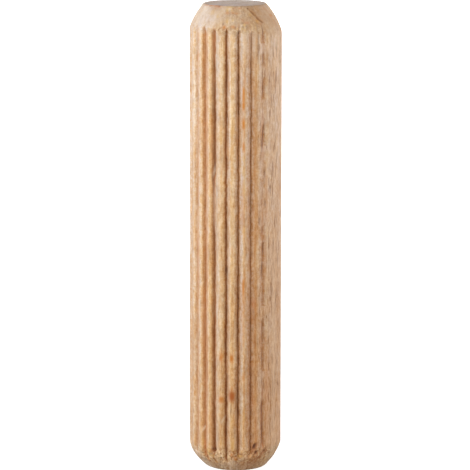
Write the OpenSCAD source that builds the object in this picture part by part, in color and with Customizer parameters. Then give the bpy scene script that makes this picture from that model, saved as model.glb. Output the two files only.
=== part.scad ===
// Fluted wooden dowel pin.
// One turned and pressed piece of beech: a round rod with a row of flutes
// cut along it, a plain strip on one side where the flutes run out, and a
// crowned chamfer at each end. It stands on its lower end.
// +Z runs along the rod and the origin is the centre of its lower end.
// Angles around the rod are counted from the front (-Y), positive towards +X.

/* [Rod] */
// Diameter across the crests of the flutes, in mm
rod_d = 7.95; // [5.8:0.05:16]
// Length over the two flat ends, in mm
rod_len = 40.5; // [25:0.5:80]

/* [Ends] */
// Diameter of each flat end as a share of the rod's diameter
flat_share = 0.66; // [0.45:0.01:0.8]
// Length of the upper chamfer along the rod, in mm
top_chamfer = 2.1; // [1:0.1:3.5]
// Length of the lower chamfer along the rod, in mm
bottom_chamfer = 2.1; // [1:0.1:3.5]
// How far the middle of the upper chamfer bulges out from a straight cone, in mm
top_crown = 0.13; // [0.04:0.01:0.22]
// How far the middle of the lower chamfer bulges out from a straight cone, in mm
bottom_crown = 0.22; // [0.04:0.01:0.22]

/* [Flutes] */
// Number of equal steps around the rod, with one flute to a step
flute_steps = 23; // [12:1:26]
// Depth of a full flute below the crests, in mm
flute_depth = 0.33; // [0.25:0.01:0.45]
// Radius of a flute's rounded bottom, in mm
flute_r = 0.14; // [0.1:0.01:0.18]
// Slope of each flute wall away from the radial direction, in degrees
flute_wall = 16; // [4:1:20]
// Height of the eased shoulder at each side of a crest, in mm
shoulder = 0.12; // [0.04:0.01:0.14]
// Angle of the flute nearest the front, in degrees
first_flute = 4.9; // [-7:0.1:7]

/* [Plain strip] */
// Direction of the middle of the plain strip, in degrees
plain_dir = 75; // [0:1:360]
// Width of the strip that has no flutes, in degrees
plain_arc = 68; // [0:1:150]
// Width of the zone at each side of the strip where the flutes get shallow, in degrees
fade_arc = 32; // [5:1:60]

/* [Hidden] */

rod_r = rod_d / 2;
flat_r = rod_r * flat_share;
pitch = 360 / flute_steps;
crown_steps = 3;
least_depth = 0.04;
wood = [0.85, 0.69, 0.52];

// Angle between two directions, from 0 to 180
function apart(a, b) =
    let (d = (((a - b) % 360) + 360) % 360) d > 180 ? 360 - d : d;

// Share of the full depth that a flute in direction a has
function share(a) =
    let (t = (apart(a, plain_dir) - plain_arc / 2) / fade_arc)
    t <= 0 ? 0 : t >= 1 ? 1 : t * (2 - t);

// Outline of one end, from the rim of its flat to its shoulder, as points
// [radius, distance below the end]. A parabola gives the crown.
function end_points(len, crown) =
    let (w = rod_r - flat_r, c = sqrt(w * w + len * len))
    [for (i = [0 : crown_steps])
        let (t = i / crown_steps, b = 4 * crown * t * (1 - t))
        [flat_r + w * t + b * len / c, len * t - b * w / c]];

// The plain turned rod, before its flutes are cut
module blank() {
    top = end_points(top_chamfer, top_crown);
    bottom = end_points(bottom_chamfer, bottom_crown);
    rotate_extrude($fn = 180)
        polygon(concat(
            [[0, 0]],
            [for (p = bottom) p],
            [for (i = [crown_steps : -1 : 0]) [top[i][0], rod_len - top[i][1]]],
            [[0, rod_len]]));
}

// Section of the cutter for a flute of depth d. The rod's surface is at y = 0
// and the cutter reaches below it: a round bottom, two sloping walls, and two
// flatter facets at each side that ease the shoulders of the crests.
module flute_section(d) {
    c = flute_r - d;
    base = flute_r * 0.97;
    y1 = max(-shoulder, c + 0.03);
    x1 = base + (y1 - c) * tan(flute_wall);
    y2 = y1 * 0.3;
    x2 = x1 + shoulder * 0.5;
    rise = 0.1;
    x3 = x2 + shoulder * 0.8 * (rise - y2) / (0.3 * shoulder);
    union() {
        translate([0, c]) circle(r = flute_r, $fn = 48);
        if (y1 < 0)
            polygon([[-base, c], [base, c], [x1, y1], [x2, y2], [x3, rise],
                     [x3, 0.5], [-x3, 0.5], [-x3, rise], [-x2, y2], [-x1, y1]]);
        else
            polygon([[-base, c], [base, c], [base + 0.2, 0.5], [-base - 0.2, 0.5]]);
    }
}

// One flute's cutter, in direction a around the rod
module flute(a, d) {
    rotate([0, 0, a - 90])
        translate([rod_r, 0, -1])
            rotate([0, 0, -90])
                linear_extrude(height = rod_len + 2) flute_section(d);
}

// The finished dowel
module dowel() {
    color(wood)
        difference() {
            blank();
            for (i = [0 : flute_steps - 1]) {
                a = first_flute + i * pitch;
                d = flute_depth * share(a);
                if (d > least_depth) flute(a, d);
            }
        }
}

dowel();
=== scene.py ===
import math

import bpy
import numpy as np
from mathutils import Matrix, Vector


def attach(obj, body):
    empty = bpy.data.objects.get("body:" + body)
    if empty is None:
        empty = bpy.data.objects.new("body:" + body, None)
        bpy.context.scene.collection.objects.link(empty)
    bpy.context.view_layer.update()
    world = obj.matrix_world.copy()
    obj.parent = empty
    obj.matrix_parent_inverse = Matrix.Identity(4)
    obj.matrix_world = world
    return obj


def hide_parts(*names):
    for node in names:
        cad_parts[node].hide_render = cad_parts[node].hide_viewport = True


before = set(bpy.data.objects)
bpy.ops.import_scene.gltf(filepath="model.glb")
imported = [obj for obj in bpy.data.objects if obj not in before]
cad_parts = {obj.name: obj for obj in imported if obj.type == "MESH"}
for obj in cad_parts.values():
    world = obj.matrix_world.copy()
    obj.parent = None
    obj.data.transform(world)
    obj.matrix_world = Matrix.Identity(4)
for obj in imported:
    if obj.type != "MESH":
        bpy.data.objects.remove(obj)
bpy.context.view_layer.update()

# ---------------------------------------------------------------------------
# The dowel, in millimetres, as in the CAD: +Z along the rod, the front is -Y,
# angles run from the front towards +X.
# ---------------------------------------------------------------------------
R = 3.975           # over the crests
L = 40.5            # over the flat ends
STEPS = 23          # flute pitches around the rod
PITCH = 2 * math.pi / STEPS
FIRST = math.radians(4.9)
FLUTE = 0.35        # depth of a full flute
PLAIN_DIR = 75.0    # middle of the plain strip, degrees
PLAIN_ARC = 68.0
FADE_ARC = 32.0

# The camera that the photograph was taken with, worked out from the outline
CAM_D = 266.6       # mm in front of the axis
CAM_Z = 68.36       # mm above the floor
CAM_PITCH = math.radians(10.21)
CAM_F = 3127.0      # focal length in pixels of the 470 pixel frame
CAM_X = -0.028      # mm: the axis sits a third of a pixel right of the middle
CAM_ROLL = 0.0015      # radians, about the line of sight


def at_pixel(px, py, r=R):
    """Angle and height of the point of a cylinder of radius r seen at a pixel."""
    dx = (px - 235.0) / CAM_F
    dy = -(py - 235.0) / CAM_F
    c, s = math.cos(CAM_PITCH), math.sin(CAM_PITCH)
    d = np.array([dx, c + dy * s, -s + dy * c])
    o = np.array([CAM_X, -CAM_D, CAM_Z])
    a = d[0] ** 2 + d[1] ** 2
    b = 2 * (o[0] * d[0] + o[1] * d[1])
    q = o[0] ** 2 + o[1] ** 2 - r * r
    disc = max(b * b - 4 * a * q, 0.0)
    t = (-b - math.sqrt(disc)) / (2 * a)
    p = o + t * d
    return math.atan2(p[0], -p[1]), p[2]


# ---------------------------------------------------------------------------
# Noise, the same on every run
# ---------------------------------------------------------------------------
def _hash(ix, iy, seed):
    m = np.uint64(0xFFFFFFFF)
    n = (ix.astype(np.int64) * 374761393 + iy.astype(np.int64) * 668265263
         + np.int64(seed) * 1442695041).astype(np.uint64) & m
    n = ((n ^ (n >> np.uint64(13))) * np.uint64(1274126177)) & m
    n = ((n ^ (n >> np.uint64(15))) * np.uint64(2246822519)) & m
    n = n ^ (n >> np.uint64(16))
    return n.astype(np.float64) / 4294967295.0 * 2 - 1


def noise(x, y, seed, wrap=None):
    """Smooth noise from -1 to 1. x repeats every wrap cells."""
    x, y = np.broadcast_arrays(np.asarray(x, float), np.asarray(y, float))
    x0, y0 = np.floor(x), np.floor(y)
    fx, fy = x - x0, y - y0
    ux = fx * fx * fx * (fx * (fx * 6 - 15) + 10)
    uy = fy * fy * fy * (fy * (fy * 6 - 15) + 10)
    x1, y1 = x0 + 1, y0 + 1
    if wrap:
        x0, x1 = np.mod(x0, wrap), np.mod(x1, wrap)
    a, b = _hash(x0, y0, seed), _hash(x1, y0, seed)
    c, d = _hash(x0, y1, seed), _hash(x1, y1, seed)
    return (a * (1 - ux) + b * ux) * (1 - uy) + (c * (1 - ux) + d * ux) * uy


def around(theta, z, cell_t, cell_z, seed, octaves=1, gain=0.5):
    """Noise on the rod's wall, with cells of about cell_t by cell_z mm."""
    n = max(3, int(round(2 * math.pi * R / cell_t)))
    out, amp, tot = 0, 1.0, 0.0
    for o in range(octaves):
        out = out + amp * noise(theta / (2 * math.pi) * n * 2 ** o,
                                z / cell_z * 2 ** o, seed + 31 * o, n * 2 ** o)
        tot += amp
        amp *= gain
    return out / tot


def smoothstep(a, b, x):
    t = np.clip((x - a) / (b - a), 0, 1)
    return t * t * (3 - 2 * t)


def apart(a, b):
    """Signed angle from b to a, in radians, from -pi to pi."""
    return (a - b + math.pi) % (2 * math.pi) - math.pi


def smin(a, b, k):
    m = np.minimum(a, b)
    return m - k * np.log1p(np.exp(-np.abs(a - b) / k))


# ---------------------------------------------------------------------------
# Flutes
# ---------------------------------------------------------------------------
def share_of(k):
    a = abs(math.degrees(apart(FIRST + k * PITCH, math.radians(PLAIN_DIR))))
    t = (a - PLAIN_ARC / 2) / FADE_ARC
    return 0.0 if t <= 0 else 1.0 if t >= 1 else t * (2 - t)


rng = np.random.RandomState(11)
SHARE = np.array([share_of(k) for k in range(STEPS)])
# how far each flute is from its even place, in degrees; the front ones as seen
SHIFT = rng.uniform(-0.5, 0.5, STEPS)
for k_, v_ in {15: -1.5, 16: -3.0, 17: -3.6, 18: -2.8, 19: -2.4, 20: -1.35, 21: -1.6, 22: -0.65, 0: -0.45, 1: 0.6, 2: 2.0}.items():
    SHIFT[k_] = v_
SHIFT = np.radians(SHIFT)
WIDE = rng.uniform(0.92, 1.08, STEPS)       # each flute's own depth

# Columns: the place of each one as a flute number, whole at a flute's bottom
cols = []
fine = np.array([0.0, 0.03, 0.075, 0.12, 0.17, 0.22, 0.27, 0.32, 0.38, 0.44])
coarse = np.array([0.0, 0.05, 0.13, 0.21, 0.29, 0.38])
for k in range(STEPS):
    deg = math.degrees(apart(FIRST + k * PITCH, 0))
    if SHARE[k] == 0:
        offs = np.linspace(-0.5, 0.5, 8)[:-1]
    else:
        h = fine if -82 < deg < 45 else coarse
        offs = np.concatenate([-h[:0:-1], h, [0.5]])
    cols += list(k + offs)
cols = np.array(sorted(set(np.round(np.mod(np.array(cols), STEPS), 6))))
NCOL = len(cols)


def column_angle(q):
    k0 = np.floor(q).astype(int)
    f = q - k0
    s = SHIFT[k0 % STEPS] * (1 - f) + SHIFT[(k0 + 1) % STEPS] * f
    return FIRST + q * PITCH + s


# Rows: heights of the rings along the rod
low = np.concatenate([[0, 0.02, 0.05, 0.09, 0.14], np.arange(0.2, 3.0, 0.09)])
high = L - low[::-1]
mid = np.linspace(low[-1], high[0], 214)[1:-1]
rows = np.concatenate([low, mid, high])
NROW = len(rows)

Q, Z = np.meshgrid(cols, rows)              # rows x columns
T0 = column_angle(Q)
ks = np.floor(Q + 0.5).astype(int) % STEPS
off = Q - np.floor(Q + 0.5)                 # -0.5 .. 0.5 from the flute's bottom
FRONT = np.degrees(apart(T0, 0))

# flutes wander a little, by an amount that is the same down one column
wander = (0.006 * noise(Q * 1.0, Z / 6.0, 5, STEPS)
          + 0.006 * noise(Q * 1.0, Z / 2.1, 6, STEPS)
          + 0.024 * noise(Q * 2.0, Z / 0.36, 7, STEPS * 2))
flute_here = np.interp(np.mod(Q, STEPS), np.arange(STEPS + 1), np.append(SHARE, SHARE[0]))
fl = np.clip(flute_here * 1.6, 0, 1)
THETA = T0 + wander * PITCH * fl

# each flute's depth, with shallower and deeper stretches; the two beside the
# plain strip come and go
deep = SHARE[ks] * WIDE[ks] * (1 + 0.24 * noise(ks * 7.31, Z / 3.3, 8)
                               + 0.12 * noise(ks * 3.77, Z / 1.1, 9)
                               + 0.14 * noise(ks * 2.93, Z / 0.45, 10))
deep = np.where(ks == 7, deep * (1 + 0.7 * noise(ks * 1.7, Z / 4.0, 21)
                                 + 0.5 * noise(ks * 2.9, Z / 1.3, 22)), deep)
# the shallow flute at the edge of the plain strip comes and goes: rows of the
# frame from where to where, and how strongly
there = 0.35 + 0 * Z
for y0, y1, how in ((29, 43, 1.2), (53, 67, 1.0), (78, 100, 1.1), (125, 146, 1.4), (150, 190, 0.6),
                    (198, 206, 0.6), (226, 240, 0.9), (243, 262, 1.3), (264, 306, 1.2), (320, 345, 1.5),
                    (347, 371, 1.1), (377, 384, 0.6), (401, 446, 1.5)):
    za, zb = at_pixel(262.5, y0)[1], at_pixel(262.5, y1)[1]
    there = np.maximum(there, how * smoothstep(zb - 0.25, zb + 0.25, Z) * smoothstep(za + 0.25, za - 0.25, Z))
deep = np.where(ks == 2, deep * 1.35 * there, deep)
# shallow and deep stretches: flute, rows of the frame from where to where, by how much
for k_, y0, y1, by in ((20, 10, 150, -0.18), (20, 240, 400, 0.10), (21, 178, 232, -0.55), (22, 20, 60, -0.20),
                       (22, 105, 165, 0.15), (22, 172, 225, -0.22), (0, 60, 120, 0.12), (0, 172, 228, -0.30),
                       (1, 10, 58, -0.32), (1, 62, 120, -0.10), (1, 290, 345, 0.15), (20, 160, 232, -0.10)):
    za, zb = at_pixel(235, y0)[1], at_pixel(235, y1)[1]
    deep = np.where(ks == k_, deep * (1 + by * smoothstep(zb - 0.6, zb + 0.6, Z) * smoothstep(za + 0.6, za - 0.6, Z)), deep)
side = np.sin(THETA)
top_len = 2.20 + 0.17 * side                # of the chamfers, longer on the right
bot_len = 2.06 - 0.04 * side
# the chamfering has smeared the ends of the flutes shut
ends = noise(ks * 5.13, 0.5, 30)
deep = deep * (1 - smoothstep(-0.20, 0.75, Z - (L - top_len) - 0.15 * ends))
reach = 0.50 + 0.15 * noise(np.arange(STEPS) * 4.7, 0.5, 31)    # mm down the lower chamfer
for k_, v_ in {19: 0.50, 20: 0.75, 21: 0.40, 22: 1.00, 0: 0.75, 1: 0.40, 2: 0.60}.items():
    reach[k_] = v_
deep = deep * (1 - smoothstep(-0.30, 0.30, (bot_len - Z) - reach[ks]))
start_up = 0.10 + 0.12 * noise(np.arange(STEPS) * 3.1, 0.5, 34)    # mm up the upper chamfer
for k_, v_ in {19: 0.05, 20: 0.10, 21: 0.20, 22: 0.38, 0: 0.18, 1: 0.15, 2: 0.20}.items():
    start_up[k_] = v_
deep = np.clip(deep, 0, 1.18)

# ridges are rounded over and meet in a narrow crease at the flute's bottom
half = PITCH * R / 2
u = np.abs(off) * PITCH * R                 # mm from the flute's bottom
u = u + fl * 0.024 * around(THETA + ks * 0.7, Z, 0.3, 0.34, 32, 2)
x_in = np.clip((np.sqrt(u * u + 0.020 ** 2) - 0.012) / half, 0, 1)
round_n = 2.6 + 0.25 * noise(ks * 2.3, Z / 1.7, 33)
sunk = FLUTE * deep * (1 - x_in) ** round_n
IN = np.clip(sunk / (FLUTE * np.maximum(deep, 0.25)), 0, 1)      # 0 crest, 1 bottom

r_flute = R - 0.002 - sunk
# each crest has its own height and is a little rough; torn fibres on the walls
r_flute = r_flute - fl * 0.007 * (1 + noise(np.floor(Q + 0.0) * 5.1, Z / 9.0, 13))
r_flute = r_flute + fl * 0.006 * around(THETA, Z, 0.22, 2.6, 14, 2)
r_flute = r_flute + fl * 0.005 * around(THETA, Z, 0.30, 0.60, 17, 2)
r_flute = r_flute - fl * 0.035 * np.clip(around(THETA, Z, 0.13, 0.55, 15, 2), 0, 1) \
    * smoothstep(0.10, 0.5, IN)
# grain on the plain strip: long shallow lines
r_flute = r_flute + (1 - fl) * 0.008 * around(THETA, Z, 0.20, 2.6, 16, 2)


# ---------------------------------------------------------------------------
# Ends
# ---------------------------------------------------------------------------
def end_radius(below, theta, a_len, flat, crown, rag):
    """Radius of the chamfered end at a distance below the flat."""
    tau = below / a_len
    slope1 = (R - flat) / a_len
    inside = np.clip(tau, 0, 1)
    r = flat + (R - flat) * inside + 4 * crown * inside * (1 - inside)
    last = slope1 - 4 * crown / a_len
    r = r + np.clip(tau - 1, 0, None) * a_len * np.maximum(last, 0.12)
    return r - 0.07 * np.exp(-below / 0.045) + rag


rag_t = (0.020 * around(THETA, Z, 0.9, 0.9, 40, 2)
         - 0.035 * np.clip(around(THETA, Z, 0.30, 0.35, 41, 2) - 0.25, 0, 1))
rag_b = (0.030 * around(THETA, Z, 0.8, 0.7, 42, 2)
         - 0.080 * np.clip(around(THETA, Z, 0.28, 0.40, 43, 2) - 0.15, 0, 1))
# torn fibres where the cutter ran out of the flutes
torn_t = np.exp(-((Z - (L - top_len) - 0.30) / 0.30) ** 2) * smoothstep(-40, -20, FRONT) * smoothstep(34, 16, FRONT)
torn_on_t = np.maximum(0.75 * torn_t, 0.30 * smoothstep(-24, -8, FRONT) * smoothstep(42, 28, FRONT)
                       * smoothstep(-0.1, 0.3, Z - (L - top_len)))
torn_b = np.exp(-((Z - bot_len + 0.45) / 0.60) ** 2) * smoothstep(-62, -40, FRONT) * smoothstep(62, 30, FRONT)
rag_t = rag_t + torn_t * 0.045 * around(THETA, Z, 0.26, 0.24, 44, 2)
rag_b = rag_b + torn_b * 0.110 * around(THETA, Z, 0.27, 0.30, 71, 2)
top_r = end_radius(L - Z, THETA, top_len, 2.70 - 0.08 * side, 0.115 + 0.03 * side, rag_t)
bot_r = end_radius(Z, THETA, bot_len, 2.62 + 0.08 * side, 0.20 - 0.06 * side, rag_b)

RAD = smin(r_flute, top_r, 0.035)
RAD = smin(RAD, bot_r, 0.035)
RAD = np.minimum(RAD, R)
# the flutes run on a little into the chamfers
down = bot_len - Z
run_on = smoothstep(-0.30, 0.05, down) * (1 - smoothstep(-0.18, 0.12, down - reach[ks]))
up = Z - (L - top_len)
run_up = smoothstep(-0.30, 0.05, up) * (1 - smoothstep(-0.18, 0.15, up - start_up[ks]))
run = np.maximum(run_on, run_up) * SHARE[ks] * (1 - x_in) ** 3.2
RAD = RAD - 0.085 * run


def blob(theta, z, t0, z0, wt, wz, p=2.0):
    """A soft spot round (t0, z0), wt mm by wz mm from middle to edge."""
    u = np.abs(apart(theta, t0)) * R / wt
    w = np.abs(z - z0) / wz
    return np.exp(-(u ** p + w ** p))


STAIN = np.zeros_like(Z)
# dark marks, and painted shade in creases
DARK_AND_SHADE = np.zeros_like(Z)
PALE = np.zeros_like(Z)
# red-brown marks, and painted shade on crease walls
RUST_AND_SHADE = np.zeros_like(Z)
ORANGE = np.zeros_like(Z)
GOLD = np.zeros_like(Z)


def on_surface(px, py):
    """Angle, height and radius of the point of the dowel seen at a pixel."""
    r = R
    for _ in range(8):
        t, z = at_pixel(px, py, r)
        s = math.sin(t)
        a = end_radius(L - z, t, 2.20 + 0.17 * s, 2.70 - 0.08 * s, 0.115 + 0.03 * s, 0)
        b = end_radius(z, t, 2.06 - 0.04 * s, 2.62 + 0.08 * s, 0.20 - 0.06 * s, 0)
        r = 0.5 * r + 0.5 * min(R, float(a), float(b))
    return t, z, r


def mark(layer, px, py, half_w, half_h, strength, p=2.4, lean=0.0):
    """A spot seen at a pixel of the frame, with its half sizes in pixels."""
    t0, z0, r0 = on_surface(px, py)
    mm = CAM_D / CAM_F
    u = apart(THETA, t0) * r0 * math.cos(t0) / (half_w * mm)
    w = (Z - z0) / (half_h * mm)
    u = u - lean * w
    m = strength * np.exp(-(np.abs(u) ** p + np.abs(w) ** p))
    np.maximum(layer, m, out=layer)
    return m


# a brown stain, orange spots and thin orange streaks
mark(STAIN, 232.0, 396.4, 3.3, 5.8, 1.0, 3.4)
for m_ in ((221.4, 399.6, 2.6, 3.5, 0.85, 4.0), (231.8, 358.6, 2.0, 4.4, 1.0, 3.0),
           (221.2, 357.5, 2.1, 4.4, 0.88), (243.5, 95.5, 1.10, 8.0, 0.92, 4.0), (243.5, 106.0, 1.25, 4.4, 1.0, 4.0),
           (243.5, 124.5, 1.25, 4.6, 1.0, 4.0), (243.6, 147.5, 1.15, 4.6, 0.82, 4.0),
           (243.5, 287.0, 1.0, 8.0, 0.80, 4.0), (232.2, 251.0, 1.2, 5.0, 0.35), (243.5, 378.3, 1.1, 3.2, 0.55), (232.2, 388.8, 1.1, 3.0, 0.45), (221.5, 171.0, 1.3, 4.0, 0.35),
           (232.0, 172.0, 1.0, 5.0, 0.30), (203.5, 297.0, 1.6, 6.0, 0.35)):
    mark(ORANGE, *m_)
# the same on the chamfers, where short ends of fibre show
for m_ in ((224.0, 27.4, 1.8, 1.9, 0.80), (232.8, 26.9, 2.3, 1.2, 0.75), (227.2, 13.0, 2.2, 1.2, 0.60),
           (232.4, 12.9, 1.8, 1.0, 0.62), (236.4, 13.7, 2.2, 0.9, 0.50), (239.2, 8.5, 1.3, 0.8, 0.60), (234.0, 8.4, 2.0, 0.7, 0.35),
           (270.8, 15.3, 1.3, 1.2, 0.65), (257.0, 20.0, 2.0, 1.3, 0.45), (263.4, 8.4, 1.4, 1.2, 0.40), (231.8, 455.4, 1.6, 2.0, 0.62), (235.8, 459.5, 1.5, 1.8, 0.80),
           (234.5, 457.6, 1.5, 1.1, 0.40, 2.4, -0.8), (254.8, 456.6, 0.9, 0.8, 0.50), (256.8, 442.0, 0.7, 4.0, 0.40)):
    mark(ORANGE, *m_)
# golden crumbs and strands at the torn ends of the flutes
for m_ in ((227.0, 10.2, 1.6, 1.6, 0.80), (229.6, 7.3, 2.6, 1.0, 0.70), (231.6, 10.2, 1.2, 1.2, 0.70),
           (226.9, 21.6, 1.2, 2.0, 0.75), (232.6, 20.3, 1.2, 1.1, 0.65), (217.4, 16.4, 0.8, 1.4, 0.55),
           (244.2, 25.2, 1.5, 1.7, 0.95), (242.2, 28.6, 1.0, 1.2, 0.80), (244.6, 30.4, 1.3, 2.6, 0.65),
           (212.0, 12.4, 1.6, 2.6, 0.35), (257.8, 20.8, 2.6, 1.6, 0.75), (249.8, 14.4, 1.8, 1.3, 0.60), (255.4, 28.0, 1.0, 4.0, 0.45), (209.8, 451.0, 2.0, 2.5, 0.65),
           (212.0, 455.3, 1.9, 1.0, 0.60), (209.0, 454.4, 1.6, 1.6, 0.75), (217.0, 461.6, 1.9, 1.1, 0.55),
           (233.0, 445.0, 1.4, 6.0, 0.70), (240.6, 456.3, 3.2, 1.4, 0.80), (242.4, 452.0, 1.5, 2.0, 0.50),
           (251.2, 452.0, 1.0, 1.8, 0.35), (256.9, 447.0, 0.8, 2.6, 0.45), (265.8, 459.4, 1.6, 1.8, 0.60), (202.2, 443.0, 0.9, 8.0, 0.55),
           (221.2, 442.0, 0.9, 5.0, 0.40), (243.6, 158.5, 1.5, 3.5, 0.50), (243.4, 172.0, 1.5, 4.0, 0.45), (243.6, 189.0, 1.6, 7.0, 0.55),
           (243.6, 230.0, 1.6, 5.0, 0.50), (232.4, 130.0, 1.3, 7.0, 0.35), (220.6, 138.0, 1.3, 6.0, 0.30), (232.4, 424.0, 1.0, 9.0, 0.35), (244.4, 416.0, 0.9, 6.0, 0.50)):
    mark(GOLD, *m_)
# reddish patches along the ridges, and painted shade down the left walls of some creases, which face away from the
# light, and along the last shallow flute
for m_ in ((262.8, 420.0, 1.2, 1.6, 0.75), (204.2, 446.0, 1.6, 8.0, 0.50), (243.0, 318.0, 2.2, 38.0, 0.34, 4.0),
           (266.7, 400.0, 2.0, 52.0, 0.30, 4.0), (265.6, 262.0, 1.6, 26.0, 0.22, 4.0), (266.6, 200.0, 1.4, 30.0, 0.22, 4.0),
           (263.0, 42.0, 0.8, 14.0, 0.42, 3.0), (263.0, 132.0, 1.3, 22.0, 0.45, 3.0), (262.8, 225.0, 1.1, 30.0, 0.30, 3.0), (262.5, 415.0, 1.3, 34.0, 0.50, 4.0),
           (212.8, 44.0, 1.4, 15.0, 0.50, 3.0), (202.4, 322.0, 1.5, 32.0, 0.40, 3.0),
           (211.2, 145.0, 1.0, 28.0, 0.25, 3.0), (210.6, 425.0, 1.3, 22.0, 0.35, 3.0), (243.6, 118.0, 1.6, 50.0, 0.28, 4.0),
           (242.8, 205.0, 1.6, 30.0, 0.45, 3.0), (224.2, 115.0, 1.0, 50.0, 0.30, 4.0), (236.6, 115.0, 1.0, 55.0, 0.30, 4.0),
           (247.4, 200.0, 1.2, 26.0, 0.22, 3.0), (256.6, 422.0, 1.6, 18.0, 0.30, 3.0), (197.6, 262.0, 2.2, 28.0, 0.22, 4.0), (214.8, 345.0, 0.9, 90.0, 0.30, 4.0),
 (254.0, 304.0, 2.2, 5.0, 0.60),
           (253.5, 318.0, 1.6, 4.0, 0.35), (244.5, 81.0, 1.8, 3.6, 0.50), (197.2, 37.0, 1.4, 5.0, 0.40),
           (197.3, 56.0, 1.4, 4.5, 0.50), (197.0, 122.0, 1.3, 7.0, 0.42), (197.4, 163.0, 1.2, 4.0, 0.38),
           (197.0, 193.0, 1.4, 6.0, 0.42), (196.8, 264.0, 1.3, 5.0, 0.38), (253.2, 402.0, 2.0, 9.0, 0.30),
           (204.0, 176.0, 1.2, 6.0, 0.30), (212.0, 82.0, 1.2, 7.0, 0.30), (242.6, 310.0, 1.5, 7.0, 0.30),
           (265.0, 341.0, 4.0, 1.6, 0.25), (228.2, 84.0, 1.2, 5.0, 0.35),
           (243.2, 342.0, 1.6, 6.0, 0.30), (226.5, 150.0, 1.0, 6.0, 0.25)):
    mark(RUST_AND_SHADE, *m_)
# and on the chamfers
for m_ in ((246.4, 22.8, 2.8, 1.2, 0.72), (242.2, 20.6, 1.6, 1.4, 0.38, 2.4, -0.7), (238.4, 26.6, 1.3, 2.6, 0.35), (234.6, 27.9, 1.0, 1.3, 0.60),
           (240.4, 13.4, 1.2, 1.0, 0.30),
           (259.8, 23.6, 2.6, 0.6, 0.35), (250.2, 29.0, 0.7, 3.0, 0.35), (204.9, 450.4, 1.3, 4.0, 0.90),
           (213.8, 449.2, 1.3, 2.0, 0.85), (213.6, 454.0, 1.4, 0.9, 0.95), (208.9, 459.2, 1.5, 2.4, 0.62), (211.6, 450.6, 1.5, 2.2, 0.75),
           (206.9, 455.4, 1.1, 2.4, 0.75), (242.4, 454.8, 1.0, 0.8, 0.60), (239.0, 454.6, 0.8, 0.7, 0.45),
           (216.2, 461.0, 1.0, 1.8, 0.55, 2.4, -0.6), (226.0, 458.4, 0.7, 2.0, 0.60), (253.2, 450.6, 1.3, 2.4, 0.45, 2.4, 0.5),
           (263.6, 445.0, 0.9, 5.0, 0.60), (264.5, 450.4, 1.4, 1.6, 0.80), (262.0, 453.4, 1.5, 2.0, 0.75, 2.4, 0.9), (258.6, 457.6, 1.8, 2.6, 0.75, 2.4, 0.9),
           (254.4, 449.8, 1.6, 1.4, 0.60),
           (247.5, 454.6, 0.6, 0.7, 0.50), (249.3, 457.2, 0.7, 1.1, 0.55), (250.0, 461.6, 4.0, 1.0, 0.40),
           (267.6, 459.2, 1.0, 1.2, 0.40), (250.4, 466.0, 1.5, 0.8, 0.45), (256.3, 465.8, 1.3, 0.7, 0.40),
           (212.0, 465.6, 3.0, 0.8, 0.40), (238.5, 463.2, 3.0, 0.8, 0.35)):
    mark(RUST_AND_SHADE, *m_)
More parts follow.
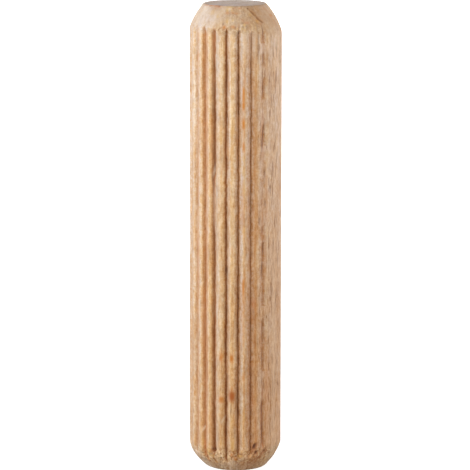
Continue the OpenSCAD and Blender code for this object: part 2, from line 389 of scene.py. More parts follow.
# short dark lines: cracks, pores beside the last shallow flute, and painted shade along that flute and in stretches of
# other creases
for m_ in ((231.0, 409.5, 0.65, 6.5, 0.60), (222.8, 24.2, 0.8, 1.0, 0.75), (220.6, 420.6, 0.8, 3.2, 0.30, 3.0, -0.6), (213.4, 457.6, 0.9, 1.6, 0.45, 2.4, -0.8),
           (216.6, 419.6, 0.7, 3.4, 0.28, 3.0, -1.2), (262.0, 453.4, 1.2, 1.9, 0.42, 2.4, 0.9), (258.8, 457.4, 1.4, 2.3, 0.40, 2.4, 0.9),
           (264.5, 450.4, 1.3, 1.6, 0.60), (212.4, 449.2, 0.9, 1.8, 0.50), (207.2, 455.8, 0.8, 1.8, 0.45), (242.4, 454.8, 0.8, 0.7, 0.35),
           (262.4, 412.0, 0.8, 30.0, 0.22, 4.0),
           (234.9, 27.8, 0.8, 1.0, 0.60),
           (247.4, 8.6, 0.9, 0.8, 0.85), (233.0, 9.0, 0.8, 0.6, 0.35), (225.6, 10.6, 0.5, 0.9, 0.35),
           (229.4, 11.2, 0.7, 0.7, 0.30), (242.6, 27.0, 1.0, 0.8, 0.55), (238.8, 27.4, 0.8, 1.4, 0.45),
           (246.0, 26.4, 0.8, 1.2, 0.50), (242.4, 23.2, 1.0, 0.7, 0.50), (239.4, 31.0, 0.8, 0.9, 0.45), (230.4, 28.6, 0.7, 0.7, 0.30), (241.0, 460.8, 2.4, 0.6, 0.25), (263.1, 34.0, 0.75, 7.5, 0.75),
           (263.1, 58.0, 0.75, 6.5, 0.75), (263.0, 88.0, 0.7, 9.0, 0.75), (262.9, 137.0, 0.85, 13.0, 0.88, 4.0, 1.3),
           (264.8, 172.0, 0.8, 4.0, 0.55), (265.4, 203.0, 0.8, 4.0, 0.50), (262.5, 230.0, 0.9, 3.5, 0.55), (263.2, 248.0, 1.0, 7.5, 0.75), (262.3, 268.0, 1.0, 8.5, 0.80),
           (262.9, 296.0, 0.6, 9.0, 0.45), (262.4, 358.0, 0.7, 12.0, 0.60), (262.2, 381.0, 0.6, 4.0, 0.45),
           (262.7, 331.0, 0.7, 12.0, 0.65), (262.3, 408.0, 1.0, 9.5, 0.88), (262.6, 430.0, 1.0, 11.5, 0.88),
           (258.1, 44.0, 0.85, 14.0, 0.52), (261.5, 145.0, 0.7, 5.0, 0.30), (272.5, 51.0, 0.5, 6.0, 0.45),
           (276.5, 46.0, 0.5, 7.0, 0.30), (270.5, 190.0, 0.7, 3.5, 0.40), (273.0, 247.0, 0.6, 7.0, 0.35),
           (276.0, 296.0, 0.6, 6.0, 0.35), (275.0, 375.0, 0.5, 8.0, 0.30), (213.8, 165.0, 0.8, 6.0, 0.55),
           (212.0, 178.0, 0.8, 5.0, 0.45), (226.0, 270.5, 1.3, 4.6, 0.80, 3.0, -0.2), (225.4, 84.0, 1.0, 5.0, 0.35),
           (225.0, 347.0, 1.2, 4.0, 0.40), (205.2, 170.0, 0.8, 4.0, 0.30), (248.8, 200.0, 0.6, 8.0, 0.25)):
    mark(DARK_AND_SHADE, *m_)
# pale slivers of lifted fibre: two that meet in a V, one across a flute, short ones at the ends
for m_ in ((223.0, 420.4, 1.0, 4.0, 1.0, 3.0, 1.8), (218.9, 418.2, 1.0, 4.6, 1.0, 3.0, -1.5),
           (202.7, 429.0, 0.85, 4.2, 0.95, 3.0, 2.1), (213.0, 171.0, 0.9, 6.0, 0.75, 2.4, 0.7),
           (229.0, 408.5, 0.8, 4.5, 0.45), (233.2, 411.0, 0.8, 5.0, 0.45, 2.4, 0.4), (236.0, 414.0, 0.7, 4.5, 0.40),
           (243.6, 113.0, 0.9, 3.0, 0.50), (244.0, 141.0, 0.9, 2.5, 0.40), (219.5, 317.0, 1.8, 1.5, 0.45)):
    mark(PALE, *m_)
for m_ in ((273.8, 345.0, 1.7, 110.0, 0.38, 4.0), (244.8, 42.0, 2.8, 17.0, 0.38, 3.0),
           (254.6, 44.0, 2.2, 15.0, 0.34, 3.0), (250.6, 44.0, 1.2, 16.0, 0.22, 3.0), (276.0, 42.0, 1.2, 12.0, 0.30, 3.0), (231.0, 44.0, 1.8, 14.0, 0.22, 3.0),
           (213.8, 205.0, 1.3, 24.0, 0.30, 3.0)):
    mark(PALE, *m_)
for m_ in ((229.2, 8.9, 1.6, 0.8, 0.85), (231.4, 8.8, 0.8, 0.6, 0.50), (241.4, 25.6, 1.2, 1.4, 1.0),
           (239.9, 28.8, 1.1, 1.3, 0.95), (244.9, 28.0, 1.0, 1.0, 0.85), (243.4, 31.8, 1.2, 1.4, 0.60), (228.4, 22.5, 0.6, 2.4, 0.60),
           (220.8, 25.6, 0.8, 1.6, 0.60), (232.6, 30.2, 1.1, 1.0, 0.70), (239.0, 7.2, 1.2, 0.6, 0.65), (217.0, 452.0, 0.8, 3.4, 0.60, 2.4, 1.0),
           (215.4, 456.6, 0.8, 1.8, 0.50), (216.6, 459.4, 0.8, 2.2, 0.45, 2.4, -0.9), (214.0, 452.6, 0.9, 0.5, 0.60),
           (234.4, 459.8, 0.7, 1.7, 0.55, 2.4, -0.5), (241.0, 459.8, 2.8, 1.1, 0.75), (219.2, 455.4, 1.2, 0.7, 0.25), (228.6, 449.0, 0.7, 4.0, 0.35),
           (262.8, 456.4, 1.3, 1.1, 0.35)):
    mark(PALE, *m_)

# scratch across the upper chamfer: fine and dark where it starts, brown and wide lower down
t_a, z_a, _ = on_surface(247.4, 8.4)
t_b, z_b, _ = on_surface(263.2, 23.4)
s_ = (z_a - Z) / (z_a - z_b)
sc = np.clip(s_, -0.05, 1.05)
line = t_a + (t_b - t_a) * sc + 0.014 * noise(sc * 7, 0, 50)
dist = (apart(THETA, line)) * RAD
along = smoothstep(-0.04, 0.05, s_) * (1 - smoothstep(0.90, 1.02, s_))
gaps = 1 - 0.45 * np.exp(-((s_ - 0.49) / 0.07) ** 2) - 0.35 * smoothstep(0.22, 0.10, s_)
broad = 0.095 + 0.070 * smoothstep(0.10, 0.35, s_) + 0.035 * smoothstep(0.5, 0.7, s_)
scr = np.exp(-(np.abs(dist) / broad) ** 2.4) * along * gaps
RAD -= 0.075 * scr
RUST_AND_SHADE = np.maximum(RUST_AND_SHADE, 0.62 * scr)
GOLD = np.maximum(GOLD, 0.35 * scr)
DARK_AND_SHADE = np.maximum(DARK_AND_SHADE, 0.66 * np.exp(-(np.abs(dist) / (0.74 * broad)) ** 2) * along * gaps)
# the lip pushed up on its lower side
RAD += 0.020 * np.exp(-((dist + 0.20) / 0.06) ** 2) * along * gaps
PALE = np.maximum(PALE, 0.25 * np.exp(-((dist + 0.20) / 0.07) ** 2) * along * gaps)

# chip out of the upper rim
chip = blob(THETA, Z, math.radians(-38), L, 0.95, 0.30, 2.6)
RAD -= 0.20 * chip
RUST_AND_SHADE = np.maximum(RUST_AND_SHADE, 0.45 * chip)
for m_ in ((206.4, 5.0, 2.4, 0.8, 0.70), (210.5, 5.6, 2.6, 0.9, 0.80), (214.4, 6.2, 2.6, 1.0, 0.85), (217.6, 6.6, 1.8, 1.3, 1.0)):
    mark(RUST_AND_SHADE, *m_)
mark(DARK_AND_SHADE, 217.8, 6.5, 1.3, 0.8, 0.40)

# pits near the lower end, red-brown round a dark bottom
for px, py, hw, hh, lean, d in ((255.5, 446.5, 1.8, 2.9, 0.5, 0.22), (256.8, 452.4, 1.3, 1.7, 0.3, 0.14),
                                (264.8, 450.4, 0.8, 1.0, 0.3, 0.05), (236.3, 456.4, 0.8, 0.9, 0.0, 0.06),
                                (214.3, 449.8, 1.0, 1.9, 0.2, 0.08)):
    mark(RUST_AND_SHADE, px, py, hw * 1.35, hh * 1.25, 0.95, 3.0, lean)
    RAD -= d * mark(DARK_AND_SHADE, px, py, hw, hh, 1.0, 3.0, lean)

RAD = np.minimum(RAD, R)
X3 = RAD * np.sin(THETA)
Y3 = -RAD * np.cos(THETA)
Z3 = Z

# ---------------------------------------------------------------------------
# Mesh
# ---------------------------------------------------------------------------
wall = np.stack([X3, Y3, Z3], -1).reshape(-1, 3)
CHAM = smoothstep(0.0, 0.06, r_flute - RAD)

frac = np.array([0.975, 0.94, 0.88, 0.79, 0.66, 0.50, 0.33, 0.15])


def cap(ring_r, ring_t, z, up, seed):
    pts = []
    for f in frac:
        r = ring_r * f
        x, y = r * np.sin(ring_t), -r * np.cos(ring_t)
        dip = 0.012 * (1 + noise(x / 0.6, y / 0.6, seed)) * smoothstep(1.0, 0.9, np.full_like(x, f))
        pts.append(np.stack([x, y, np.full_like(x, z) - up * dip], -1))
    return pts


bot_rings = cap(RAD[0], THETA[0], 0.0, -1, 60)
top_rings = cap(RAD[-1], THETA[-1], L, 1, 61)

verts = [wall]
n_wall = len(wall)
bot_start = n_wall
verts += bot_rings
top_start = bot_start + len(frac) * NCOL
verts += top_rings
bot_c = top_start + len(frac) * NCOL
top_c = bot_c + 1
verts += [np.array([[0, 0, 0.012]]), np.array([[0, 0, L - 0.012]])]
co = np.concatenate([v.reshape(-1, 3) for v in verts])

idx = np.arange(n_wall).reshape(NROW, NCOL)
nxt = np.roll(np.arange(NCOL), -1)
faces = []
a = idx[:-1, :]; b = idx[:-1][:, nxt]; c = idx[1:][:, nxt]; d = idx[1:, :]
faces.append(np.stack([a, b, c, d], -1).reshape(-1, 4))


def cap_faces(edge, start, flip):
    out = []
    ring = edge
    for j in range(len(frac)):
        new = start + j * NCOL + np.arange(NCOL)
        quad = np.stack([ring, ring[nxt], new[nxt], new], -1)
        out.append(quad[:, ::-1] if flip else quad)
        ring = new
    return out, ring


top_q, top_in = cap_faces(idx[-1], top_start, False)
bot_q, bot_in = cap_faces(idx[0], bot_start, True)
quads = np.concatenate(faces + top_q + bot_q)
tris = []
for i in range(NCOL):
    j = (i + 1) % NCOL
    tris.append((top_in[i], top_in[j], top_c))
    tris.append((bot_in[j], bot_in[i], bot_c))

mesh = bpy.data.meshes.new("dowel_wood")
mesh.from_pydata((co * 0.001).tolist(), [], quads.tolist() + [list(map(int, t)) for t in tris])
mesh.update()
for p in mesh.polygons:
    p.use_smooth = True
dowel = bpy.data.objects.new("dowel_wood", mesh)
bpy.context.scene.collection.objects.link(dowel)


def attribute(name, wall_values, top=0.0, bottom=0.0):
    """A value at each vertex, for the material."""
    n = len(co)
    v = np.empty(n, np.float32)
    v[:n_wall] = wall_values.reshape(-1)
    v[bot_start:top_start] = bottom
    v[top_start:bot_c] = top
    v[bot_c] = bottom
    v[top_c] = top
    at = mesh.attributes.new(name, "FLOAT", "POINT")
    at.data.foreach_set("value", v)


attribute("turn_c", np.cos(2 * math.pi * off))
attribute("turn_s", np.sin(2 * math.pi * off))
attribute("groove", np.clip(deep * 2.0, 0, 1))
RIDGE = np.floor(Q).astype(int)
for name, k_ in (("ridge_a", 18), ("ridge_b", 19), ("ridge_c", 20), ("ridge_d", 21), ("ridge_e", 22),
                 ("ridge_f", 0), ("ridge_g", 1), ("ridge_h", 2), ("ridge_z", 17), ("ridge_y", 16)):
    attribute(name, ((RIDGE == k_) | (np.round(Q, 6) == (k_ + 1) % STEPS)).astype(float))
attribute("torn", np.clip(np.maximum(torn_on_t, torn_b * 1.4), 0, 1))
attribute("side", 0.5 + 0.5 * np.sin(THETA))
fade = 0.16 * around(THETA, Z, 0.5, 0.7, 70, 2) + 0.12 * around(THETA, Z, 0.25, 0.5, 71, 2)
near_end = np.maximum(smoothstep(-0.42, 0.22, Z - (L - top_len) + fade),
                      smoothstep(-0.42, 0.22, bot_len - Z + fade))
attribute("cut", near_end * (1 - np.clip(np.maximum(IN * (1 - CHAM), 1.25 * run), 0, 1)), 1.0, 1.0)
attribute("cap", np.zeros_like(Z), 1.0, 1.0)
attribute("stain", STAIN)
attribute("dark_and_shade", DARK_AND_SHADE)
attribute("orange", ORANGE)
attribute("gold", GOLD)
attribute("pale", PALE)
attribute("rust_and_shade", RUST_AND_SHADE)

# A map for baking: the wall unrolled, and the two flat ends beside it
uv = mesh.uv_layers.new(name="OFBake")
loops_v = np.empty(len(mesh.loops), np.int64)
mesh.loops.foreach_get("vertex_index", loops_v)
uvs = np.zeros((len(mesh.loops), 2))
colf = np.append(cols, STEPS) / STEPS
starts = np.empty(len(mesh.polygons), np.int64)
mesh.polygons.foreach_get("loop_start", starts)
totals = np.empty(len(mesh.polygons), np.int64)
mesh.polygons.foreach_get("loop_total", totals)
n_wall_faces = (NROW - 1) * NCOL
fi = np.arange(n_wall_faces)
ri, ci = fi // NCOL, fi % NCOL
u0, u1 = 0.004 + 0.604 * colf[ci], 0.004 + 0.604 * colf[ci + 1]
v0, v1 = 0.004 + 0.992 * rows[ri] / L, 0.004 + 0.992 * rows[ri + 1] / L
for j, (uu, vv) in enumerate(((u0, v0), (u1, v0), (u1, v1), (u0, v1))):
    uvs[starts[:n_wall_faces] + j, 0] = uu
    uvs[starts[:n_wall_faces] + j, 1] = vv
rest = np.arange(starts[n_wall_faces], len(mesh.loops))
pts = co[loops_v[rest]]
is_top = pts[:, 2] > L / 2
uvs[rest, 0] = 0.805 + pts[:, 0] / 2.85 * 0.18
uvs[rest, 1] = np.where(is_top, 0.75, 0.25) + pts[:, 1] / 2.85 * 0.18
uv.data.foreach_set("uv", uvs.reshape(-1))

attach(dowel, "root")
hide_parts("dowel")


# ---------------------------------------------------------------------------
# Material
# ---------------------------------------------------------------------------
mat = bpy.data.materials.new("pressed_beech")
mat.use_nodes = True
nt = mat.node_tree
nt.nodes.clear()
links = nt.links


def node(kind, **props):
    n = nt.nodes.new(kind)
    for k, v in props.items():
        setattr(n, k, v)
    return n


def link(a, b):
    links.new(a, b)


def math_node(op, a, b=None, clamp=False):
    n = node("ShaderNodeMath", operation=op, use_clamp=clamp)
    for i, x in enumerate((a, b)):
        if x is None:
            continue
        if isinstance(x, (int, float)):
            n.inputs[i].default_value = x
        else:
            link(x, n.inputs[i])
    return n.outputs[0]


def mix_col(fac, a, b, mode="MIX"):
    n = node("ShaderNodeMix", data_type="RGBA", blend_type=mode, clamp_factor=True)
    for s, x in ((0, fac), (6, a), (7, b)):
        if isinstance(x, (int, float)):
            n.inputs[s].default_value = x
        elif isinstance(x, tuple):
            n.inputs[s].default_value = x
        else:
            link(x, n.inputs[s])
    return n.outputs[2]


def attr(name):
    return node("ShaderNodeAttribute", attribute_name=name).outputs["Fac"]


coord = node("ShaderNodeTexCoord").outputs["Object"]


def grain(xy, z, loc=(0, 0, 0)):
    """Coordinates in cells: xy cells per mm across the grain, z per mm along it."""
    m = node("ShaderNodeMapping")
    m.inputs["Scale"].default_value = (xy * 1000, xy * 1000, z * 1000)
    m.inputs["Location"].default_value = loc
    link(coord, m.inputs["Vector"])
    return m.outputs[0]


def noise_tex(vec, detail=2.0, rough=0.5, distortion=0.0):
    n = node("ShaderNodeTexNoise")
    n.inputs["Scale"].default_value = 1.0
    n.inputs["Detail"].default_value = detail
    n.inputs["Roughness"].default_value = rough
    n.inputs["Distortion"].default_value = distortion
    link(vec, n.inputs["Vector"])
    return n.outputs[0]


def ramp(fac, lo, hi):
    n = node("ShaderNodeMapRange", interpolation_type="SMOOTHSTEP")
    n.inputs["From Min"].default_value = lo
    n.inputs["From Max"].default_value = hi
    link(fac, n.inputs["Value"])
    return n.outputs[0]


def bands(fac, stops):
    n = node("ShaderNodeValToRGB")
    r = n.color_ramp
    while len(r.elements) > 1:
        r.elements.remove(r.elements[0])
    r.elements[0].position, r.elements[0].color = stops[0][0], stops[0][1] + (1,)
    for at, col in stops[1:]:
        e = r.elements.new(at)
        e.color = col + (1,)
    link(fac, n.inputs[0])
    return n.outputs[0]


def scaled(x, k):
    return math_node("MULTIPLY", x, k)


def centred(x, k):
    """A noise turned into -k .. k, about."""
    return math_node("MULTIPLY", math_node("SUBTRACT", x, 0.5), 2 * k)


def vary(base, n, spread, amp, where=None):
    """Scale a colour up and down with a noise; amp is the change of red, green and blue."""
    m = node("ShaderNodeMapRange", interpolation_type="LINEAR")
    m.inputs["From Min"].default_value = 0.5 - spread
    m.inputs["From Max"].default_value = 0.5 + spread
    m.inputs["To Min"].default_value = -1.0
    m.inputs["To Max"].default_value = 1.0
    link(n, m.inputs["Value"])
    f = m.outputs[0]
    if where is not None:
        f = math_node("MULTIPLY", f, where)
    k = node("ShaderNodeVectorMath", operation="MULTIPLY_ADD")
    link(f, k.inputs[0])
    k.inputs[1].default_value = amp
    k.inputs[2].default_value = (1, 1, 1)
    v = node("ShaderNodeVectorMath", operation="MULTIPLY")
    link(base, v.inputs[0])
    link(k.outputs[0], v.inputs[1])
    return v.outputs[0]


groove, cut, side_a = attr("groove"), attr("cut"), attr("side")
stain, dark_and_shade, torn = attr("stain"), attr("dark_and_shade"), attr("torn")

# noises: broad streaks along the grain, clouds, blotches, fibres, specks
streak = noise_tex(grain(0.9, 0.045), 3.0, 0.6)
cloud = noise_tex(grain(1.0, 0.22, (2, 8, 3)), 2.0, 0.5)
tone = noise_tex(grain(3.0, 1.35, (4, 4, 1)), 3.0, 0.65)
knob = noise_tex(grain(4.2, 4.3, (1, 6, 4)), 3.0, 0.78)
fibre = noise_tex(grain(7.0, 1.75, (3, 1, 0)), 3.0, 0.80)
fibre_2 = noise_tex(grain(7.0, 2.6, (5, 2, 6)), 3.0, 0.80)
speck = noise_tex(grain(4.4, 3.3, (7, 3, 9)), 3.0, 0.75, 0.6)
speck_2 = noise_tex(grain(4.6, 4.2, (2, 9, 5)), 2.0, 0.7)
line = noise_tex(grain(6.0, 0.28, (5, 7, 2)), 2.0, 0.6)
fray = noise_tex(grain(2.5, 3.4, (8, 8, 2)), 3.0, 0.7)
jog = noise_tex(grain(1.6, 0.8, (6, 1, 8)), 2.0, 0.5)

# place across the ridge: 0 and 1 in the creases, 0.5 on the crest, with torn edges
place = math_node("DIVIDE", math_node("ARCTAN2", attr("turn_s"), attr("turn_c")), 2 * math.pi)
place = math_node("ADD", place, centred(fray, 0.075))
place = math_node("ADD", place, centred(jog, 0.02))
place = math_node("FRACT", math_node("ADD", place, 1.0))

# the pale flank is calm, the gold strand and the creases are not
calm = bands(side_a, [(0, (0.85,) * 3), (0.36, (0.88,) * 3), (0.46, (1.08,) * 3), (0.60, (1.05,) * 3), (0.72, (1.15,) * 3), (1, (1.15,) * 3)])
busy = bands(place, [(0, (1.5,) * 3), (0.12, (1.2,) * 3), (0.26, (0.55,) * 3), (0.42, (0.75,) * 3),
                     (0.60, (1.1,) * 3), (0.80, (1.2,) * 3), (1, (1.5,) * 3)])

# the tints of the strands of the wood, with painted light and shade in them: pale on the flank that faces the light,
# browner on the flank turned from it, and darkest in the creases, where painted shade lies over wood that is darker
# from being pressed
TINT_LIT_SHADED = {"shade": (0.205, 0.085, 0.030), "chestnut": (0.315, 0.115, 0.038), "umber": (0.355, 0.158, 0.058), "cinnamon": (0.400, 0.185, 0.078), "russet": (0.400, 0.210, 0.105),
        "ochre": (0.445, 0.225, 0.090), "fawn": (0.450, 0.260, 0.145), "amber": (0.535, 0.300, 0.135),
        "gold": (0.555, 0.340, 0.160), "honey": (0.575, 0.360, 0.190), "cream": (0.580, 0.405, 0.250),
        "blush": (0.505, 0.355, 0.245), "dusk": (0.400, 0.275, 0.185), "mauve": (0.455, 0.270, 0.163),
        "tan": (0.500, 0.310, 0.175)}


def strands_lit_shaded(*stops):
    """Tints across a ridge, each at its place; the pale ones are painted light, the dark crease ones painted shade."""
    lift = (1.05, 1.085, 1.125)
    return bands(place, [(at, tuple(c * f for c, f in zip(TINT_LIT_SHADED[name], lift))) for at, name in stops])


def ridge(pale, gold, brown, strand="gold", mid="honey", flank="amber", crease="umber", start="shade", wall="russet",
          low="fawn"):
    """A ridge with a pale flank, a gold strand and a brown flank, each at its place: the pale flank is painted light,
    the brown flank and the crease painted shade over darker pressed wood.
    """
    return strands_lit_shaded((0, start), (0.095, wall), (0.155, low), (max(pale, 0.24), "blush"), ((pale + gold) / 2, "cream"),
                   (gold, strand), ((gold + brown) / 2, mid), (brown, flank),
                   ((brown + 1) / 2, crease), (0.97, "shade"))


fluted_lit_shaded = ridge(0.25, 0.48, 0.80)
# per ridge, painted light and shade: the far left ridges pale where the light falls full on them, the front ones pale
# on the lit flank and dark in the shaded crease
ridge_light_and_shade = {
    "ridge_y": strands_lit_shaded((0, "fawn"), (0.3, "blush"), (0.85, "blush"), (1, "tan")),
    "ridge_z": strands_lit_shaded((0, "fawn"), (0.4, "blush"), (0.76, "blush"), (0.88, "tan")),
    "ridge_a": strands_lit_shaded((0, "fawn"), (0.6, "blush"), (0.76, "cream"), (0.86, "tan")),
    "ridge_b": strands_lit_shaded((0, "russet"), (0.4, "mauve"), (0.54, "blush"), (0.68, "cream"), (0.77, "honey"),
                       (0.83, "ochre"), (1, "cinnamon")),
    "ridge_c": strands_lit_shaded((0, "cinnamon"), (0.12, "umber"), (0.24, "russet"), (0.42, "mauve"), (0.54, "cream"), (0.64, "gold"),
                       (0.75, "amber"), (0.88, "umber"), (1, "shade")),
    "ridge_d": ridge(0.36, 0.58, 0.83, strand="honey", low="dusk", crease="chestnut", wall="chestnut"),
    "ridge_e": ridge(0.22, 0.40, 0.80, flank="fawn", start="umber", wall="dusk"),
    "ridge_f": ridge(0.24, 0.36, 0.68, strand="amber", mid="tan", flank="mauve", crease="russet", start="umber", wall="fawn",
                     low="blush"),
    "ridge_g": strands_lit_shaded((0, "umber"), (0.10, "fawn"), (0.30, "ochre"), (0.52, "tan"), (0.66, "mauve"), (0.87, "russet"),
                       (1, "umber")),
    "ridge_h": strands_lit_shaded((0, "umber"), (0.12, "fawn"), (0.20, "tan")),
}
for name, cols_ in ridge_light_and_shade.items():
    fluted_lit_shaded = mix_col(attr(name), fluted_lit_shaded, cols_)

plain = mix_col(ramp(streak, 0.40, 0.60), (0.530, 0.348, 0.225, 1), (0.495, 0.313, 0.190, 1))
edge = ramp(math_node("ADD", groove, centred(fray, 0.30)), 0.15, 0.60)
base = mix_col(edge, plain, fluted_lit_shaded)

# the chamfers are cut across the grain, with painted light and shade round the rod: paler and pinker on the left, where
# the light falls with a sheen, darker on the right-front turned from it
END_LIT_SHADED = {"bone": (0.540, 0.420, 0.325), "sand": (0.500, 0.350, 0.230), "wheat": (0.475, 0.305, 0.185),
       "tawny": (0.430, 0.262, 0.145), "cream": (0.560, 0.370, 0.240), "burnt": (0.435, 0.235, 0.125)}


def lit_shaded_round_the_rod(*stops):
    return bands(side_a, [(at, END_LIT_SHADED[name]) for at, name in stops])


cham = lit_shaded_round_the_rod((0, "bone"), (0.16, "bone"), (0.26, "sand"), (0.55, "sand"), (0.73, "tawny"), (1, "wheat"))
sep = node("ShaderNodeSeparateXYZ")
link(coord, sep.inputs[0])
# the lower chamfer likewise: painted light pale on the left, painted shade darkest at the right-front
low_cham = lit_shaded_round_the_rod((0, "bone"), (0.10, "bone"), (0.22, "sand"), (0.45, "cream"), (0.73, "burnt"), (0.92, "sand"))
cham = mix_col(ramp(sep.outputs[2], 0.020, 0.010), cham, low_cham)
cham = mix_col(attr("cap"), cham, (0.562, 0.425, 0.348, 1))
base = mix_col(cut, base, cham)

# everything below scales the colour beneath it, so the painted shade of the creases stays dark
lengthwise = math_node("SUBTRACT", 1.0, cut)
on_plain = math_node("MULTIPLY", lengthwise, math_node("SUBTRACT", 1.0, scaled(edge, 0.6)))
on_ridge = math_node("MULTIPLY", lengthwise, math_node("ADD", 0.35, scaled(edge, 0.65)))
base = vary(base, cloud, 0.16, (0.05, 0.10, 0.16))
over_ridge = mix_col(1.0, mix_col(edge, (0.40, 0.40, 0.40, 1), busy), calm, "MULTIPLY")
on_ridge = math_node("MULTIPLY", on_ridge, calm)
even = base
base = vary(base, knob, 0.16, (0.078, 0.175, 0.32), over_ridge)
base = vary(base, line, 0.16, (0.05, 0.12, 0.20), on_ridge)
base = vary(base, tone, 0.15, (0.045, 0.11, 0.22), over_ridge)
base = vary(base, jog, 0.15, (0.035, 0.015, -0.04))
stronger = math_node("ADD", 0.72, scaled(ramp(sep.outputs[2], 0.033, 0.012), 0.28))
base = vary(base, fibre, 0.16, (0.215, 0.335, 0.500), math_node("MULTIPLY", on_plain, stronger))
base = vary(base, fibre_2, 0.16, (0.100, 0.145, 0.20), on_ridge)
# where all of them are light together, the wood is cream and not white
most = node("ShaderNodeVectorMath", operation="MULTIPLY")
link(even, most.inputs[0])
most.inputs[1].default_value = (1.14, 1.22, 1.34)
least = node("ShaderNodeVectorMath", operation="MINIMUM")
link(base, least.inputs[0])
link(most.outputs[0], least.inputs[1])
base = least.outputs[0]

# the torn places: fibres laid over along the slope of the chamfers, crumbs of gold and brown
out_ = node("ShaderNodeVectorMath", operation="MULTIPLY")
link(coord, out_.inputs[0])
out_.inputs[1].default_value = (1, 1, 0)
unit = node("ShaderNodeVectorMath", operation="NORMALIZE")
link(out_.outputs[0], unit.inputs[0])
wall_v = node("ShaderNodeVectorMath", operation="MULTIPLY_ADD")
link(unit.outputs[0], wall_v.inputs[0])
wall_v.inputs[1].default_value = (0.0034, 0.0034, 0.0034)
up = node("ShaderNodeCombineXYZ")
link(sep.outputs[2], up.inputs[2])
link(up.outputs[0], wall_v.inputs[2])
stretch = node("ShaderNodeMapping")
stretch.inputs["Scale"].default_value = (2900, 2900, 1150)
stretch.inputs["Location"].default_value = (4, 1, 7)
link(wall_v.outputs[0], stretch.inputs["Vector"])
laid = noise_tex(stretch.outputs[0], 3.0, 0.70, 0.4)

at_foot = ramp(sep.outputs[2], 0.0045, 0.0020)
torn_w = math_node("ADD", scaled(torn, 0.75), math_node("MULTIPLY", cut, math_node("ADD", 0.20, scaled(at_foot, 0.45))))
torn_w = math_node("MINIMUM", torn_w, 1.0)
base = mix_col(scaled(torn, 0.6), base, (1.00, 0.94, 0.78, 1), "MULTIPLY")
base = vary(base, laid, 0.15, (0.24, 0.36, 0.50), math_node("MULTIPLY", torn_w, math_node("ADD", 1.0, scaled(at_foot, 0.35))))
base = vary(base, speck, 0.17, (0.20, 0.31, 0.45), torn_w)
base = mix_col(math_node("MULTIPLY", ramp(speck_2, 0.57, 0.66), torn_w), base, (0.52, 0.38, 0.27, 1), "MULTIPLY")
base = mix_col(math_node("MULTIPLY", ramp(speck, 0.60, 0.68), torn_w), base, (0.98, 0.86, 0.55, 1), "MULTIPLY")
base = mix_col(math_node("MULTIPLY", ramp(speck_2, 0.42, 0.34), scaled(torn_w, 0.8)), base, (0.66, 0.50, 0.30, 1))

# short dark flecks of the pores and rays
fleck = noise_tex(grain(6.0, 0.75, (9, 4, 2)), 1.0, 0.5)
base = mix_col(math_node("MULTIPLY", scaled(ramp(fleck, 0.59, 0.67), 0.9), on_plain), base, (0.60, 0.50, 0.42, 1), "MULTIPLY")
base = mix_col(scaled(attr("gold"), 0.9), base, (0.600, 0.365, 0.120, 1))
base = mix_col(scaled(attr("pale"), 0.9), base, (0.680, 0.520, 0.370, 1))
# reddish marks: red-brown patches, the chip and pit rims, and painted shade on crease walls and along the last shallow
# flute
base = mix_col(scaled(attr("rust_and_shade"), 0.9), base, (0.480, 0.200, 0.085, 1))
base = mix_col(attr("orange"), base, (0.500, 0.182, 0.032, 1))
base = mix_col(stain, base, (0.355, 0.100, 0.017, 1))
# dark marks: cracks, pores, the scratch and pit bottoms, and painted shade along the creases and the last shallow flute
base = mix_col(dark_and_shade, base, (0.135, 0.055, 0.028, 1))

# painted shade and light along the rod: warmer and darker towards the foot, paler towards the head
foot_shade = ramp(sep.outputs[2], 0.030, 0.0)
base = mix_col(foot_shade, base, (0.86, 0.78, 0.68, 1), "MULTIPLY")
head_light = ramp(sep.outputs[2], 0.022, 0.040)
base = mix_col(math_node("MULTIPLY", head_light, lengthwise), base, (1.03, 1.07, 1.12, 1), "MULTIPLY")
# painted light bounced up from the table: paler on the lowest millimetre and the flat foot
base = mix_col(ramp(sep.outputs[2], 0.0009, 0.0001), base, (1.06, 1.11, 1.16, 1), "MULTIPLY")

bsdf = node("ShaderNodeBsdfPrincipled")
bsdf.inputs["Specular IOR Level"].default_value = 0.25
rough_v = node("ShaderNodeMapRange")
rough_v.inputs["To Min"].default_value = 0.62
rough_v.inputs["To Max"].default_value = 0.85
link(fibre, rough_v.inputs["Value"])
link(rough_v.outputs[0], bsdf.inputs["Roughness"])
link(base, bsdf.inputs["Base Color"])

h = math_node("ADD", scaled(fibre, 0.45), scaled(knob, 0.55))
h = math_node("ADD", h, math_node("MULTIPLY", speck, scaled(torn_w, 0.8)))
bump = node("ShaderNodeBump")
bump.inputs["Strength"].default_value = 1.0
bump.inputs["Distance"].default_value = 0.00005
link(h, bump.inputs["Height"])
link(bump.outputs[0], bsdf.inputs["Normal"])
out = node("ShaderNodeOutputMaterial")
link(bsdf.outputs[0], out.inputs["Surface"])
mesh.materials.append(mat)

# ---------------------------------------------------------------------------
# Floor, light and camera
# ---------------------------------------------------------------------------
fm = bpy.data.meshes.new("floor")
S = 3.0
fm.from_pydata([(-S, -S, 0), (S, -S, 0), (S, S, 0), (-S, S, 0)], [], [(0, 1, 2, 3)])
floor = bpy.data.objects.new("floor", fm)
bpy.context.scene.collection.objects.link(floor)
fmat = bpy.data.materials.new("floor_white")
fmat.use_nodes = True
fb = fmat.node_tree.nodes["Principled BSDF"]
fb.inputs["Base Color"].default_value = (0.5, 0.5, 0.5, 1)
fb.inputs["Roughness"].default_value = 1.0
fb.inputs["Specular IOR Level"].default_value = 0.0
fb.inputs["Emission Color"].default_value = (1, 1, 1, 1)
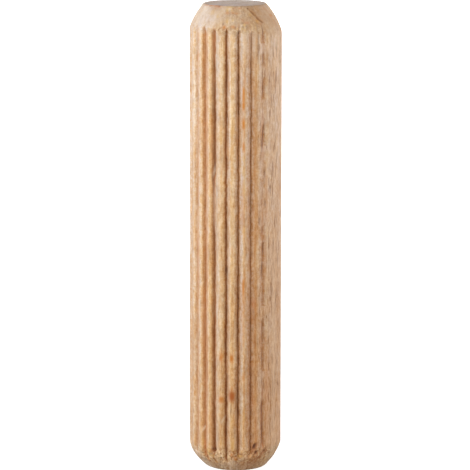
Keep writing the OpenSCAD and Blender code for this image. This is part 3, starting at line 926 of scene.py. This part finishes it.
# a little less white under the dowel, so that its soft shadow shows, and evenly white beyond
fn, fl_ = fmat.node_tree.nodes, fmat.node_tree.links
f_co = fn.new("ShaderNodeTexCoord")
f_len = fn.new("ShaderNodeVectorMath")
f_len.operation = "LENGTH"
fl_.new(f_co.outputs["Object"], f_len.inputs[0])
f_far = fn.new("ShaderNodeMapRange")
f_far.interpolation_type = "SMOOTHSTEP"
for name_, v_ in (("From Min", 0.03), ("From Max", 0.16), ("To Min", 0.80), ("To Max", 1.05)):
    f_far.inputs[name_].default_value = v_
fl_.new(f_len.outputs["Value"], f_far.inputs["Value"])
fl_.new(f_far.outputs[0], fb.inputs["Emission Strength"])
fm.materials.append(fmat)
floor.visible_diffuse = False               # the softboxes alone light the dowel
floor.visible_glossy = False
floor.visible_shadow = False

world = bpy.data.worlds.new("studio")
bpy.context.scene.world = world
world.use_nodes = True
bg = world.node_tree.nodes["Background"]
bg.inputs["Color"].default_value = (1.0, 1.0, 1.0, 1)
bg.inputs["Strength"].default_value = 1.0
world.cycles_visibility.diffuse = False
world.cycles_visibility.glossy = False


def softbox(name, az, el, wide, high, radiance, dist=0.5, color=(1, 1, 1)):
    """A softbox az degrees round from the front towards +X and el degrees up."""
    d = bpy.data.lights.new(name, "AREA")
    d.shape = "RECTANGLE"
    d.size, d.size_y = wide, high
    d.energy = 4 * radiance * wide * high
    d.color = color
    o = bpy.data.objects.new(name, d)
    target = Vector((0, 0, 0.02))
    a, e = math.radians(az), math.radians(el)
    pos = target + dist * Vector((math.sin(a) * math.cos(e), -math.cos(a) * math.cos(e), math.sin(e)))
    o.location = pos
    o.rotation_euler = (target - pos).to_track_quat("-Z", "Y").to_euler()
    o.visible_camera = False
    bpy.context.scene.collection.objects.link(o)
    return o


softbox("left_rear", -92, 12, 0.55, 0.40, 2.8)
softbox("left_front", -32, 14, 0.50, 0.40, 3.8)
softbox("right", 80, 6, 0.45, 0.35, 3.0)
softbox("right_rear", 118, 6, 0.45, 0.35, 2.6)
softbox("front_fill", 28, 20, 0.40, 0.30, 0.9)
softbox("back", 180, 12, 0.55, 0.35, 2.2)
softbox("from_the_table", 0, -75, 0.45, 0.45, 0.35, 0.3)

cam_data = bpy.data.cameras.new("camera")
cam_data.sensor_fit = "HORIZONTAL"
cam_data.sensor_width = 36.0
cam_data.lens = CAM_F / 470.0 * 36.0
cam_data.clip_start = 0.01
cam_data.clip_end = 20.0
cam = bpy.data.objects.new("camera", cam_data)
cam.location = (CAM_X * 0.001, -CAM_D * 0.001, CAM_Z * 0.001)
cam.rotation_euler = (Matrix.Rotation(math.pi / 2 - CAM_PITCH, 3, "X")
                      @ Matrix.Rotation(CAM_ROLL, 3, "Z")).to_euler()
bpy.context.scene.collection.objects.link(cam)
bpy.context.scene.camera = cam

bpy.context.scene.view_settings.view_transform = "Standard"
bpy.context.scene.view_settings.look = "None"
bpy.context.scene.view_settings.exposure = 0.0
bpy.context.scene.view_settings.gamma = 1.0
